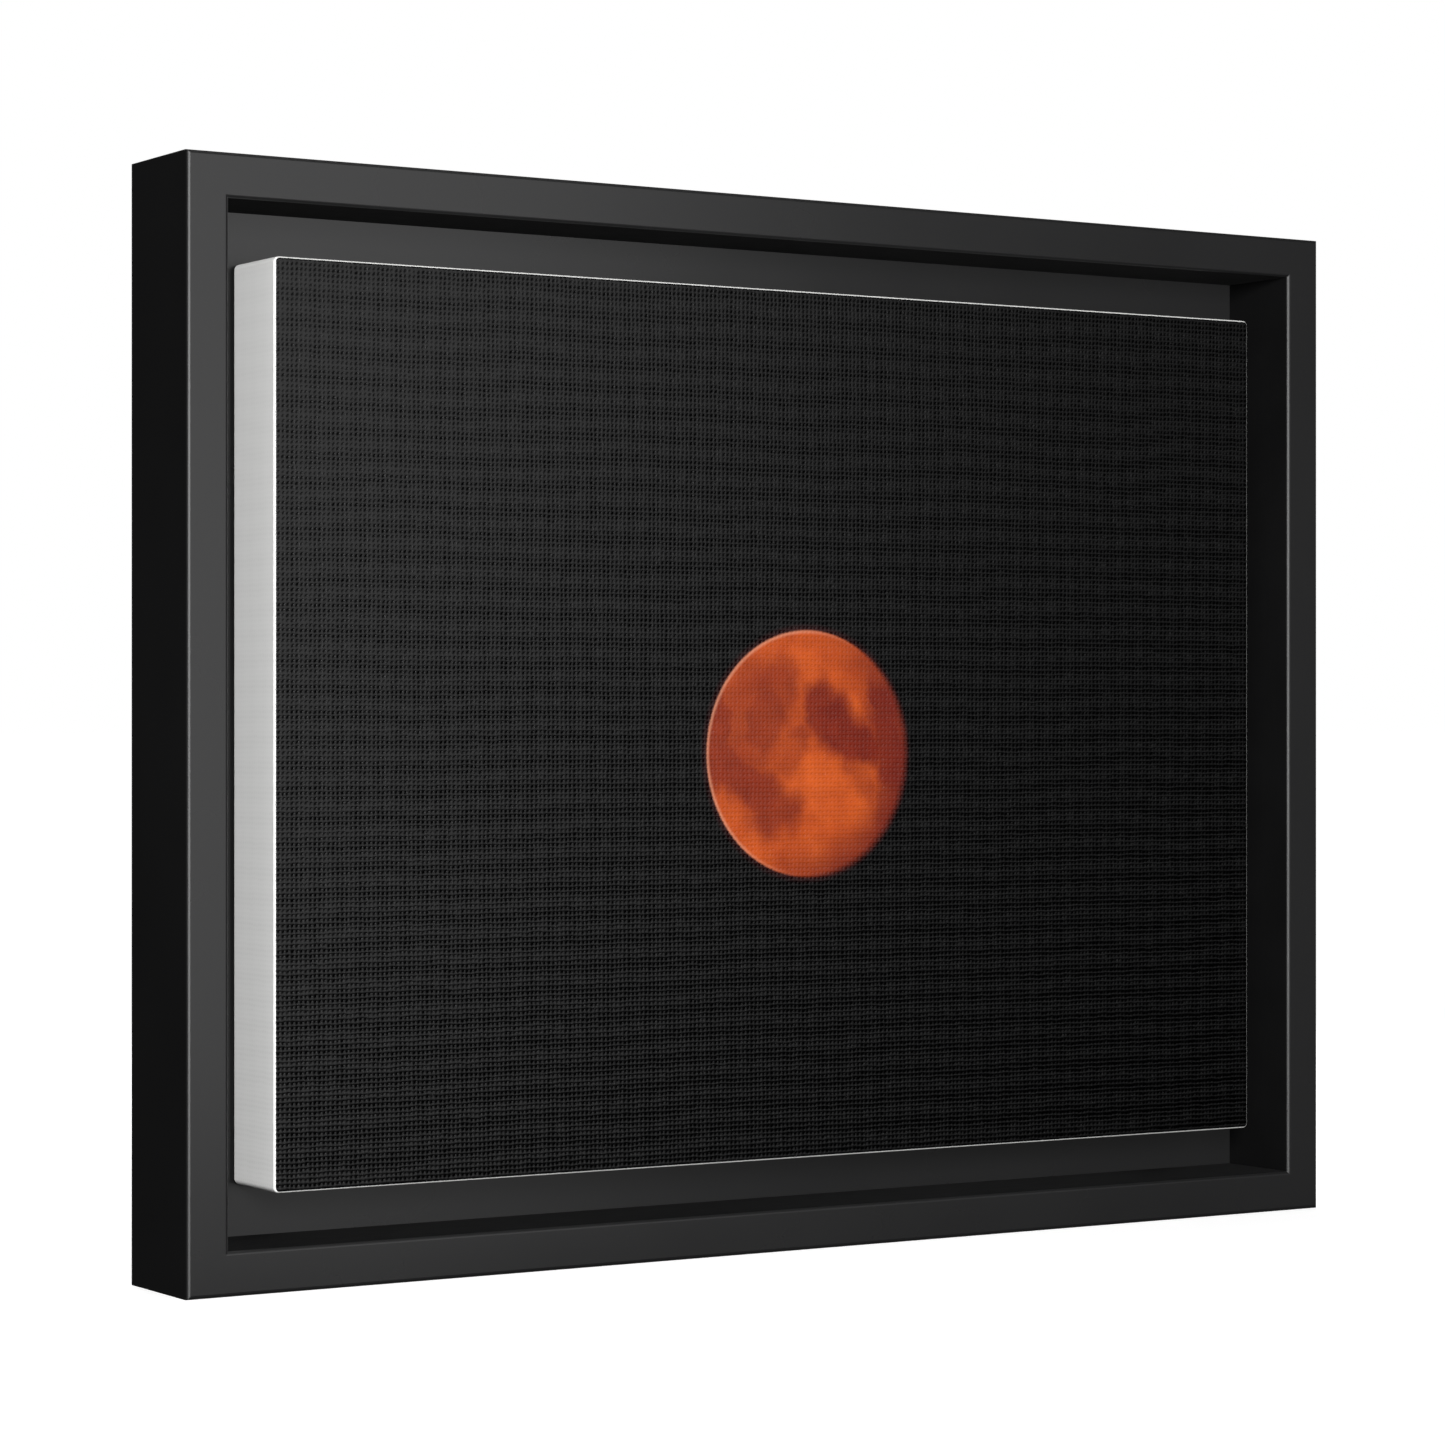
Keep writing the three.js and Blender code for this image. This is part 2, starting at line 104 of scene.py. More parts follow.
def make_camera():
    data = bpy.data.cameras.new("camera")
    data.lens = LENS
    data.sensor_width = SENSOR
    camera = bpy.data.objects.new("camera", data)
    bpy.context.collection.objects.link(camera)
    camera.location = CAMERA_PLACE
    camera.rotation_euler = (math.pi / 2, 0, CAMERA_TURN)
    bpy.context.scene.camera = camera


make_camera()

# ------------------------------------------------------------------------------------------------
# Materials


class Look:
    """A material, and short calls that add a node and give back its output socket."""

    def __init__(self, name):
        self.material = bpy.data.materials.new(name)
        self.material.use_nodes = True
        self.nodes = self.material.node_tree.nodes
        self.links = self.material.node_tree.links
        self.shader = self.nodes["Principled BSDF"]

    def add(self, kind, inputs=None, output=0, **settings):
        node = self.nodes.new(kind)
        for key, value in settings.items():
            setattr(node, key, value)
        for key, value in (inputs or {}).items():
            self.put(node.inputs[key], value)
        return node.outputs[output]

    def put(self, socket, value):
        if isinstance(value, bpy.types.NodeSocket):
            self.links.new(value, socket)
        else:
            socket.default_value = value

    def math(self, operation, a, b=0.0, c=0.0, clamp=False):
        inputs = {0: a, 1: b, 2: c}
        return self.add("ShaderNodeMath", inputs, operation=operation, use_clamp=clamp)

    def place(self):
        return self.add("ShaderNodeTexCoord", output="Object")

    def split(self, vector):
        node = self.nodes.new("ShaderNodeSeparateXYZ")
        self.links.new(vector, node.inputs[0])
        return node.outputs

    def join(self, x, y, z=0.0):
        return self.add("ShaderNodeCombineXYZ", {0: x, 1: y, 2: z})

    def noise(self, vector, scale, detail=3.0, roughness=0.5, distortion=0.0):
        inputs = {
            "Vector": vector,
            "Scale": scale,
            "Detail": detail,
            "Roughness": roughness,
            "Distortion": distortion,
        }
        return self.add("ShaderNodeTexNoise", inputs, output="Fac")

    def stretch(self, vector, scale):
        return self.add("ShaderNodeMapping", {"Vector": vector, "Scale": scale})

    def ramp(self, value, *stops):
        node = self.nodes.new("ShaderNodeValToRGB")
        self.links.new(value, node.inputs[0])
        elements = node.color_ramp.elements
        while len(elements) < len(stops):
            elements.new(0.5)
        for element, (at, colour) in zip(elements, stops):
            element.position = at
            element.color = (*colour, 1) if isinstance(colour, tuple) else (colour,) * 3 + (1,)
        return node.outputs[0]

    def blend(self, share, a, b, mode="MIX"):
        node = self.nodes.new("ShaderNodeMix")
        node.data_type = "RGBA"
        node.blend_type = mode
        for socket, value in ((node.inputs[0], share), (node.inputs[6], a), (node.inputs[7], b)):
            self.put(socket, (*value, 1) if isinstance(value, tuple) else value)
        return node.outputs[2]

    def between(self, value, low, high, start=0.0, end=1.0):
        """Goes smoothly from start to end as the value goes from low to high."""
        inputs = {"Value": value, "From Min": low, "From Max": high, "To Min": start, "To Max": end}
        return self.add("ShaderNodeMapRange", inputs, interpolation_type="SMOOTHSTEP")

    def vector(self, operation, a, b=(0.0, 0.0, 0.0), scale=1.0):
        inputs = {0: a, 3: scale} if operation == "SCALE" else {0: a, 1: b}
        return self.add("ShaderNodeVectorMath", inputs, operation=operation)

    def length(self, a, b):
        return self.add("ShaderNodeVectorMath", {0: self.join(a, b)}, output=1, operation="LENGTH")

    def bump(self, height, distance, strength=1.0, under=None):
        inputs = {"Height": height, "Distance": distance, "Strength": strength}
        if under is not None:
            inputs["Normal"] = under
        return self.add("ShaderNodeBump", inputs, output="Normal")

    def finish(self, colour=None, roughness=None, normal=None, **constants):
        for key, value in (("Base Color", colour), ("Roughness", roughness), ("Normal", normal)):
            if value is not None:
                self.put(self.shader.inputs[key], (*value, 1) if isinstance(value, tuple) else value)
        for key, value in constants.items():
            self.shader.inputs[key.replace("_", " ")].default_value = value
        return self.material


def black_lacquer(name, dull, shine=0.5):
    look = Look(name)
    place = look.place()
    cloudy = look.noise(place, 14.0, 4.0)
    fine = look.noise(place, 900.0, 2.0)
    pores = look.noise(look.stretch(place, (60, 400, 400)), 1.0, 3.0)
    colour = look.ramp(cloudy, (0.3, (0.0034, 0.0034, 0.0036)), (0.7, (0.0044, 0.0044, 0.0046)))
    roughness = look.between(cloudy, 0.3, 0.7, dull, dull + 0.03)
    normal = look.bump(fine, 0.000008, 0.2, look.bump(pores, 0.00002, 0.1))
    return look.finish(colour, roughness, normal, Specular_IOR_Level=shine)


def matt_paint(name, tone, roughness, shine):
    """Thin black paint on the rails' inner walls and backs, where the grain shows through."""
    look = Look(name)
    place = look.place()
    cloudy = look.noise(place, 22.0, 4.0)
    grain = look.noise(look.stretch(place, (90, 500, 90)), 1.0, 4.0, 0.6)
    black = (tone, tone, 1.03 * tone)
    worn = (1.6 * tone, 1.6 * tone, 1.65 * tone)
    colour = look.ramp(cloudy, (0.3, black), (0.7, worn))
    dull = look.between(grain, 0.3, 0.7, roughness, roughness + 0.1)
    return look.finish(colour, dull, look.bump(grain, 0.00006, 0.5), Specular_IOR_Level=shine)


def bare_wood(name, along, pale, dark, pores=0.35):
    """Sawn wood with its grain along one axis."""
    look = Look(name)
    place = look.place()
    axes = {"X": (1.6, 26, 26), "Z": (26, 26, 1.6)}
    flow = look.stretch(place, axes[along])
    warp = look.noise(flow, 1.3, 3.0, 0.5, 0.6)
    rings = look.add(
        "ShaderNodeTexWave",
        {"Vector": look.stretch(place, tuple(7.0 * s for s in axes[along])), "Scale": 0.34,
         "Distortion": 7.0, "Detail": 3.0, "Detail Scale": 1.2},
        output="Fac",
        bands_direction="DIAGONAL",
    )
    fibres = look.noise(look.stretch(place, tuple(60.0 * s for s in axes[along])), 1.0, 4.0, 0.6)
    base = look.blend(look.math("MULTIPLY", rings, 0.65), pale, dark)
    base = look.blend(look.math("MULTIPLY", look.ramp(warp, (0.35, 0.0), (0.75, 1.0)), 0.35), base, dark)
    tone = look.ramp(fibres, (0.3, 1.0 - pores), (0.62, 1.0))
    colour = look.blend(1.0, base, tone, "MULTIPLY")
    normal = look.bump(fibres, 0.00018, 0.5)
    return look.finish(colour, look.between(fibres, 0.3, 0.7, 0.62, 0.8), normal)


def plated(name, colour, roughness):
    look = Look(name)
    place = look.place()
    dull = look.noise(place, 240.0, 3.0)
    grain = look.noise(place, 1400.0, 2.0)
    dark = tuple(0.7 * c for c in colour)
    tone = look.ramp(dull, (0.3, dark), (0.6, colour))
    rough = look.between(dull, 0.25, 0.75, roughness * 0.8, roughness * 1.3)
    return look.finish(tone, rough, look.bump(grain, 0.00002, 0.35), Metallic=1.0)


def black_rubber():
    look = Look("black_rubber")
    place = look.place()
    grain = look.noise(place, 1800.0, 2.0)
    dust = look.noise(place, 120.0, 4.0)
    colour = look.ramp(dust, (0.35, (0.016, 0.016, 0.017)), (0.75, (0.045, 0.044, 0.043)))
    return look.finish(colour, look.between(dust, 0.3, 0.7, 0.6, 0.8), look.bump(grain, 0.00003, 0.4))


THREAD = 1.66 * MM  # from one thread of the weave to the next
HOLE_SLANT = math.radians(40)  # the small holes between the threads, whose colour is darkened as painted shade, all lean over one way, as if lit from the upper left
HOLE_HALF = (0.41, 0.21)  # a hole's half-length and half-width, in threads
WEFT_BEAT = 5.15  # threads from one loose band of the weave to the next, up the cloth
WARP_BEAT = 4.8  # and across it


def beat(look, thread, period, drift):
    """1 along the loose bands of the weave and 0 between them."""
    turn = look.math("MULTIPLY_ADD", thread, 2 * math.pi / period, look.math("MULTIPLY", drift, 9.0))
    return look.math("MULTIPLY_ADD", look.math("COSINE", turn), 0.5, 0.5)


def weave(look):
    """(how much of a hole, how loose the weave) at each place of a plain weave, from the cloth's own
    thread coordinates. The cloths darken the holes with it as painted shade."""
    flat = look.add("ShaderNodeAttribute", output="Vector", attribute_name="thread")
    wobble = look.add(
        "ShaderNodeTexNoise", {"Vector": flat, "Scale": 260.0, "Detail": 1.0}, output="Color"
    )
    sway = look.vector("SCALE", look.vector("SUBTRACT", wobble, (0.5, 0.5, 0.5)), scale=0.46)
    cells = look.vector("ADD", look.vector("SCALE", flat, scale=1 / THREAD), sway)
    cell = look.vector("FLOOR", cells)
    u, v, _ = look.split(look.vector("SUBTRACT", look.vector("FRACTION", cells), (0.5, 0.5, 0.5)))
    chance = look.add("ShaderNodeTexWhiteNoise", {"Vector": cell}, output="Value")
    cos, sin = math.cos(HOLE_SLANT), math.sin(HOLE_SLANT)
    long, wide = HOLE_HALF
    along = look.math("MULTIPLY_ADD", u, cos / long, look.math("MULTIPLY", v, sin / long))
    across = look.math("MULTIPLY_ADD", u, -sin / wide, look.math("MULTIPLY", v, cos / wide))
    off = look.length(along, across)
    column, row, _ = look.split(cell)
    drift = look.noise(flat, 16.0, 2.0)
    loose = look.math(
        "MULTIPLY_ADD", beat(look, row, WEFT_BEAT, drift), 0.65,
        look.math("MULTIPLY", beat(look, column, WARP_BEAT, drift), 0.35),
    )
    depth = look.math("MULTIPLY_ADD", chance, 0.35, look.math("MULTIPLY_ADD", loose, 0.5, 0.4))
    # Painted shade: the holes grow deeper towards the picture's lower right, which darkens the cloth
    # there.
    across_cloth, up_cloth, _ = look.split(flat)
    shade_to_lower_right = look.math("MULTIPLY_ADD", across_cloth, 1.1, look.math("MULTIPLY_ADD", up_cloth, -1.3, 1.0))
    furrows = look.math(
        "MULTIPLY_ADD",
        look.between(look.math("ABSOLUTE", v), 0.42, 0.08),
        look.math("MULTIPLY_ADD", shade_to_lower_right, 0.68, -0.31),
        look.between(look.math("ABSOLUTE", u), 0.42, 0.08, 0.0, 0.14),
    )
    open_part = look.math("MULTIPLY_ADD", look.between(off, 1.35, 0.2), 0.68, furrows)
    open_part = look.math("MULTIPLY", open_part, depth)
    gaps = look.math("MULTIPLY", loose, 0.12)
    return look.math("MULTIPLY_ADD", open_part, shade_to_lower_right, gaps, clamp=True), loose


def plain_cloth(name, colour):
    look = Look(name)
    hole, loose = weave(look)
    fibre = look.noise(look.place(), 1500.0, 3.0)
    # Painted shade: the colour is a little darker in the holes between the threads and in the looser
    # bands.
    painted_hole_shade = look.math("MULTIPLY_ADD", hole, -0.06, look.math("MULTIPLY_ADD", loose, -0.02, 1.0))
    tone = look.blend(1.0, colour, look.join(painted_hole_shade, painted_hole_shade, painted_hole_shade), "MULTIPLY")
    normal = look.bump(fibre, 0.00003, 0.25, look.bump(look.math("SUBTRACT", 1.0, hole), 0.00006, 0.2))
    return look.finish(tone, 0.85, normal, Specular_IOR_Level=0.2)


MOON_HALF = (41.8 * MM, 43.3 * MM)  # its half-width and half-height on the cloth
MOON_CENTRE = Vector((4 * MM, 0, MIDDLE.z - 10.2 * MM))
# The moon's dark plains, in moon radii: across and up from its middle, half-length, half-width, the
# turn of the length in degrees, and how dark.
PLAINS = (
    (-0.34, 0.50, 0.28, 0.24, 60, 0.7),
    (-0.42, 0.26, 0.30, 0.26, 80, 0.8),
    (-0.10, 0.36, 0.30, 0.14, 85, 0.3),
    (0.13, 0.34, 0.26, 0.17, -80, 0.95),
    (0.29, 0.22, 0.34, 0.20, -45, 1.0),
    (0.50, 0.10, 0.34, 0.20, -25, 1.0),
    (0.82, 0.04, 0.42, 0.18, -70, 0.95),
    (0.78, 0.42, 0.24, 0.10, -60, 0.95),
    (-0.90, 0.14, 0.46, 0.14, 85, 0.85),
    (-0.76, -0.12, 0.34, 0.18, -50, 0.85),
    (-0.50, -0.28, 0.32, 0.20, -35, 0.85),
    (-0.34, -0.49, 0.26, 0.17, 20, 0.8),
    (0.00, 0.18, 0.24, 0.09, 10, 0.6),
    (-0.16, 0.02, 0.24, 0.14, 70, 0.45),
    (0.86, -0.34, 0.34, 0.12, 70, 0.55),
    (-0.62, 0.24, 0.56, 0.32, 70, 0.65),
    (-0.34, 0.00, 0.36, 0.26, 60, 0.3),
    (0.54, -0.20, 0.24, 0.10, -55, 0.5),
)


def moon_face(look, right, up, flat):
    """The colour of the low, red moon."""
    sway = look.math("MULTIPLY_ADD", look.noise(flat, 3.4, 3.0), 0.3, -0.15)
    mirrored = look.stretch(flat, (-1, 1, 1))
    drift = look.math("MULTIPLY_ADD", look.noise(mirrored, 3.1, 3.0), 0.3, -0.15)
    east, north = look.math("ADD", right, sway), look.math("ADD", up, drift)
    seas = 0.0
    for across, rise, length, width, turn, dark in PLAINS:
        cos, sin = math.cos(math.radians(turn)), math.sin(math.radians(turn))
        x = look.math("SUBTRACT", east, across)
        z = look.math("SUBTRACT", north, rise)
        a = look.math("MULTIPLY_ADD", x, cos / length, look.math("MULTIPLY", z, sin / length))
        b = look.math("MULTIPLY_ADD", x, -sin / width, look.math("MULTIPLY", z, cos / width))
        seas = look.math("MAXIMUM", seas, look.between(look.length(a, b), 1.5, 0.55, 0.0, dark))
    broad = look.noise(flat, 2.4, 4.0)
    highland = look.ramp(broad, (0.3, (0.25, 0.031, 0.002)), (0.72, (0.39, 0.062, 0.006)))
    close = look.noise(flat, 4.0, 3.0)
    sea = look.ramp(close, (0.3, (0.09, 0.005, 0.0008)), (0.7, (0.13, 0.01, 0.0015)))
    return look.blend(seas, highland, sea)


def picture(look):
    """(the ink's colour, how much the place is on the moon) over the picture. The lit limb, upper
    left, has a thin pale rim, and the far limb is soft."""
    x, _, z = look.split(look.place())
    right = look.math("DIVIDE", look.math("SUBTRACT", x, MOON_CENTRE.x), MOON_HALF[0])
    up = look.math("DIVIDE", look.math("SUBTRACT", z, MOON_CENTRE.z), MOON_HALF[1])
    out = look.length(right, up)
    face = moon_face(look, right, up, look.join(right, up))
    lit = look.math("MULTIPLY_ADD", right, -0.9, look.math("MULTIPLY", up, 0.3))
    far = look.between(lit, 0.35, -0.65, 0.0, 0.85)
    dusk = look.math("MULTIPLY", look.between(out, 0.62, 1.0), far)
    face = look.blend(dusk, face, (0.09, 0.006, 0.002))
    rim = look.math("MULTIPLY", look.between(out, 0.962, 0.995), look.between(lit, -0.3, 0.6))
    face = look.blend(look.math("MULTIPLY", rim, 0.65), face, (0.42, 0.17, 0.1))
    softness = look.between(lit, -0.9, 0.0, 0.05, 0.012)
    past = look.math("DIVIDE", look.math("SUBTRACT", out, 1.0), softness)
    disc = look.between(past, 1.0, -1.0)
    glow = look.between(out, 1.07, 0.99, 0.0, 0.6)
    sky = look.blend(glow, (0.0009, 0.0009, 0.001), (0.03, 0.0012, 0.0016))
    return look.blend(disc, sky, face), disc


def printed_cloth():
    """The picture's ink on the cloth: a night sky and a low moon."""
    look = Look("printed_cloth")
    hole, loose = weave(look)
    ink, disc = picture(look)
    # The holes fill with ink on the moon, so that its weave is faint.
    hole = look.math("MULTIPLY", hole, look.math("MULTIPLY_ADD", disc, -0.5, 1.0))
    # Painted shade: the colour darkens in the holes between the threads, and a little in the looser
    # bands.
    painted_hole_shade = look.math("MULTIPLY_ADD", hole, -0.3, look.math("MULTIPLY_ADD", loose, -0.06, 1.04))
    colour = look.blend(1.0, ink, look.join(painted_hole_shade, painted_hole_shade, painted_hole_shade), "MULTIPLY")
    fibre = look.noise(look.place(), 1300.0, 2.0)
    normal = look.bump(fibre, 0.00002, 0.2, look.bump(look.math("SUBTRACT", 1.0, hole), 0.00022, 1.0))
    # The moon's thicker ink is smoother than the sky's.
    dull = look.math("MULTIPLY_ADD", disc, -0.07, 0.26)
    roughness = look.math("MULTIPLY_ADD", hole, 0.1, dull)
    # Painted shade: a hole gives back no gloss, so it stays dark. On the dark sky that is a black
    # metal's answer, and on the moon the ink's own colour hides it.
    shaded_holes = look.math("MULTIPLY", hole, look.math("SUBTRACT", 1.0, disc))
    look.put(look.shader.inputs["Metallic"], shaded_holes)
    return look.finish(colour, roughness, normal, Specular_IOR_Level=0.35)


LACQUER = black_lacquer("black_lacquer", 0.25)
EDGE = black_lacquer("edge_lacquer", 0.42)  # on the rounded edges, where it is rubbed down
SIDE = black_lacquer("side_lacquer", 0.7, 0.12)  # on the outer sides, which have one thin coat
WALL = matt_paint("wall_paint", 0.0035, 0.9, 0.05)
BACK = matt_paint("back_paint", 0.016, 0.5, 0.25)
PINE_COLOURS = ((0.62, 0.42, 0.22), (0.42, 0.24, 0.1))
PINE = {axis: bare_wood(f"pine_{axis.lower()}", axis, *PINE_COLOURS) for axis in "XZ"}
BEECH_COLOURS = ((0.5, 0.3, 0.15), (0.36, 0.19, 0.09))
BEECH = {axis: bare_wood(f"beech_{axis.lower()}", axis, *BEECH_COLOURS, 0.25) for axis in "XZ"}
ZINC = plated("zinc", (0.62, 0.64, 0.68), 0.3)
NICKEL = plated("nickel", (0.72, 0.7, 0.65), 0.22)
STEEL = plated("bright_steel", (0.5, 0.51, 0.53), 0.34)
RUBBER = black_rubber()
WHITE_CLOTH = plain_cloth("white_cloth", (0.8, 0.8, 0.79))
RAW_CLOTH = plain_cloth("raw_cloth", (0.6, 0.56, 0.47))
FOLD_CLOTH = plain_cloth("fold_cloth", (0.5, 0.5, 0.49))  # greyer, on the folds just beyond the print, except at the left
PRINT = printed_cloth()

# ------------------------------------------------------------------------------------------------
# Pieces


def paint(thing, *materials):
    thing.data.materials.clear()
    for material in materials:
        thing.data.materials.append(material)


def new_piece(name, shape, replaced, slot, *materials, body=FIXED):
    """A bmesh as a piece that stands for a CAD node."""
    data = bpy.data.meshes.new(name)
    shape.to_mesh(data)
    shape.free()
    thing = bpy.data.objects.new(name, data)
    bpy.context.collection.objects.link(thing)
    paint(thing, *materials)
    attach(thing, body)
    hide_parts(replaced)
    return thing


def cad_shape(node):
    """A CAD node's own mesh, its flat faces whole again."""
    shape = bmesh.new()
    shape.from_mesh(frame["nodes"][node].data)
    bmesh.ops.remove_doubles(shape, verts=shape.verts, dist=1e-6)
    bmesh.ops.dissolve_limit(
        shape, angle_limit=math.radians(0.5), verts=shape.verts, edges=shape.edges
    )
    return shape


def soften(shape, width, segments=2, along=None, angle=25.0):
    """Rounds a shape's sharp edges, or only those along one direction."""
    chosen = []
    for edge in shape.edges:
        if len(edge.link_faces) != 2 or edge.calc_face_angle(0) < math.radians(angle):
            continue
        way = (edge.verts[1].co - edge.verts[0].co).normalized()
        if along is None or abs(way.dot(along)) > 0.999:
            chosen.append(edge)
    bmesh.ops.bevel(
        shape, geom=chosen, offset=width, segments=segments, profile=0.5, affect="EDGES",
        clamp_overlap=True,
    )


def freeze(thing):
    """Puts what a piece's modifiers make into its mesh."""
    bpy.context.view_layer.update()
    changed = thing.evaluated_get(bpy.context.evaluated_depsgraph_get())
    done = bpy.data.meshes.new_from_object(changed)
    thing.modifiers.clear()
    thing.data = done


def smooth(thing, angle):
    """Smooth shading, with the flat faces kept flat."""
    thing.data.shade_smooth()
    thing.data.set_sharp_from_angle(angle=math.radians(angle))
    normals = thing.modifiers.new("normals", "WEIGHTED_NORMAL")
    normals.keep_sharp = True


CAD_GAP = 0.3 * MM  # between two pieces that touch on the real object
END_SLACK = 0.02 * MM  # a vertex this near a mitre's plane is on it
RAIL_PAINTS = (LACQUER, WALL, BACK, EDGE, SIDE)
FACING = 0.9  # a face with this share of its normal along a direction faces that way
FLAT = 0.99
FRONTWARD = -0.05


def side_way(side):
    """The direction along a side of the frame."""
    return Vector((1, 0, 0)) if side in ("top", "bottom") else Vector((0, 0, 1))


def close_mitres(shape, way):
    """Moves a rail's mitred ends out along the rail until they meet their neighbours'."""
    half_along, half_across = (HALF_WIDTH, HALF_HEIGHT) if way.x else (HALF_HEIGHT, HALF_WIDTH)
    gap = CAD_GAP / math.sqrt(2)
    for vert in shape.verts:
        offset = vert.co - FRAME_MIDDLE
        along = offset.dot(way)
        across = offset.dot(Vector((way.z, 0, way.x)))
        end = half_along - (half_across - abs(across)) - gap
        if abs(end - abs(along)) < END_SLACK:
            vert.co += math.copysign(gap, along) * way


def rail_paint(normal, inward):
    """The paint on a rail's face, from the way that it faces."""
    facing = normal.dot(inward)
    if facing > FACING:
        return WALL
    if facing < -FACING:
        return SIDE
    if normal.y > FACING:
        return BACK
    rounded = max(abs(v) for v in normal) < FLAT and normal.y < FRONTWARD
    return EDGE if rounded else LACQUER


def make_rails():
    for side in SIDES:
        node = f"frame_rail_{side}"
        way = side_way(side)
        shape = cad_shape(node)
        close_mitres(shape, way)
        rail = new_piece(f"rail_{side}", shape, node, "black_lacquer", *RAIL_PAINTS)
        low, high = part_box(node)
        inward = FRAME_MIDDLE - (low + high) / 2
        inward = (inward - inward.dot(way) * way).normalized()
        inward.y = 0
        for face in rail.data.polygons:
            face.material_index = RAIL_PAINTS.index(rail_paint(face.normal, inward))
        smooth(rail, 40.0)
        rail.visible_glossy = False  # the gap is lit as if its walls were a touch further apart


def make_bars():
    for side in SIDES:
        node = f"stretcher_bar_{side}"
        way = side_way(side)
        shape = cad_shape(node)
        soften(shape, 0.5 * MM, along=way)
        new_piece(f"bar_{side}", shape, node, "pine", PINE["X" if way.x else "Z"])


def make_keys():
    for body in frame["bodies"]:
        if not body.startswith("key_"):
            continue
        shape = cad_shape(body)
        soften(shape, 0.45 * MM)
        grain = BEECH["Z" if body.endswith("upright") else "X"]
        new_piece(body.replace("key", "wedge"), shape, body, "beech", grain, body=body)


def turned(shape, middle, profile, steps=32):
    """A round piece about the Y axis, from (radius, place along Y) points between two on the axis."""
    rings = []
    for radius, along in profile:
        if radius == 0:
            rings.append([shape.verts.new(middle + Vector((0, along, 0)))])
            continue
        angles = [2 * math.pi * step / steps for step in range(steps)]
        places = [Vector((radius * math.cos(a), along, radius * math.sin(a))) for a in angles]
        rings.append([shape.verts.new(middle + place) for place in places])
    for inner, outer in zip(rings, rings[1:]):
        for here in range(steps):
            there = (here + 1) % steps
            corners = [inner[here % len(inner)], outer[here % len(outer)]]
            corners += [outer[there % len(outer)], inner[there % len(inner)]]
            shape.faces.new(list(dict.fromkeys(corners)))
    bmesh.ops.recalc_face_normals(shape, faces=shape.faces)


HEAD_HEIGHT = 2.2 * MM
HEAD_EDGE = 0.7 * MM  # the straight part of a screw head's side
NECK, ROOT = 1.7 * MM, 1.55 * MM  # a screw's radius under its head, and where its point begins
POINT_LENGTH = 4 * MM
RECESS_HALF = (1.9 * MM, 0.42 * MM)  # a screw's cross recess: half an arm's length and breadth
RECESS_DEPTH = 1.3 * MM
CUT_ABOVE = 0.5 * MM  # how far the cutter stands out of the head


def cross_cutter(middle, top, turn):
    """A tapering cross, to be cut out of a screw's head."""
    shape = bmesh.new()
    long, narrow = RECESS_HALF
    outline = []
    for quarter in range(4):
        spin = Matrix.Rotation(quarter * math.pi / 2 + turn, 3, "Y")
        for x, z in ((long, -narrow), (long, narrow), (narrow, narrow)):
            outline.append(Vector((x, 0, z)) @ spin)
    rings = []
    for rise, share in ((CUT_ABOVE, 1.25), (-RECESS_DEPTH, 0.45)):
        level = middle + Vector((0, top + rise, 0))
        rings.append([shape.verts.new(level + share * place) for place in outline])
    shape.faces.new(rings[0])
    shape.faces.new(list(reversed(rings[1])))
    for here in range(len(outline)):
        there = (here + 1) % len(outline)
        shape.faces.new((rings[0][here], rings[0][there], rings[1][there], rings[1][here]))
    bmesh.ops.recalc_face_normals(shape, faces=shape.faces)
    data = bpy.data.meshes.new("cross")
    shape.to_mesh(data)
    shape.free()
    cutter = bpy.data.objects.new("cross", data)
    bpy.context.collection.objects.link(cutter)
    return cutter


def screw_profile(length, head):
    """(radius, place along the screw) from its point to the top of its pan head."""
    seat = length - HEAD_HEIGHT
    profile = [(0, 0), (0.2 * MM, 0.1 * MM), (ROOT, POINT_LENGTH), (NECK, seat), (head * 0.97, seat)]
    for step in range(10):
        angle = math.radians(9 * step)
        crown = (HEAD_HEIGHT - HEAD_EDGE) * math.sin(angle)
        profile.append((head * math.cos(angle), seat + HEAD_EDGE + crown))
    return [*profile, (0, length)]


def cut_out(thing, cutter):
    cut = thing.modifiers.new("recess", "BOOLEAN")
    cut.operation = "DIFFERENCE"
    cut.solver = "EXACT"
    cut.object = cutter
    freeze(thing)
    bpy.data.objects.remove(cutter)


def make_screws():
    """Pan-head screws with a cross recess, each turned its own way."""
    chance = random.Random(3)
    for node in sorted(frame["nodes"]):
        if "screw" not in node:
            continue
        low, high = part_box(node)
        middle = Vector(((low.x + high.x) / 2, low.y, (low.z + high.z) / 2))
        length = high.y - low.y
        shape = bmesh.new()
        turned(shape, middle, screw_profile(length, (high.x - low.x) / 2))
        screw = new_piece(node.replace("screw", "cross_screw"), shape, node, "zinc", ZINC)
        cut_out(screw, cross_cutter(middle, length, chance.uniform(0, math.pi / 2)))
        paint(screw, ZINC)
        smooth(screw, 35.0)


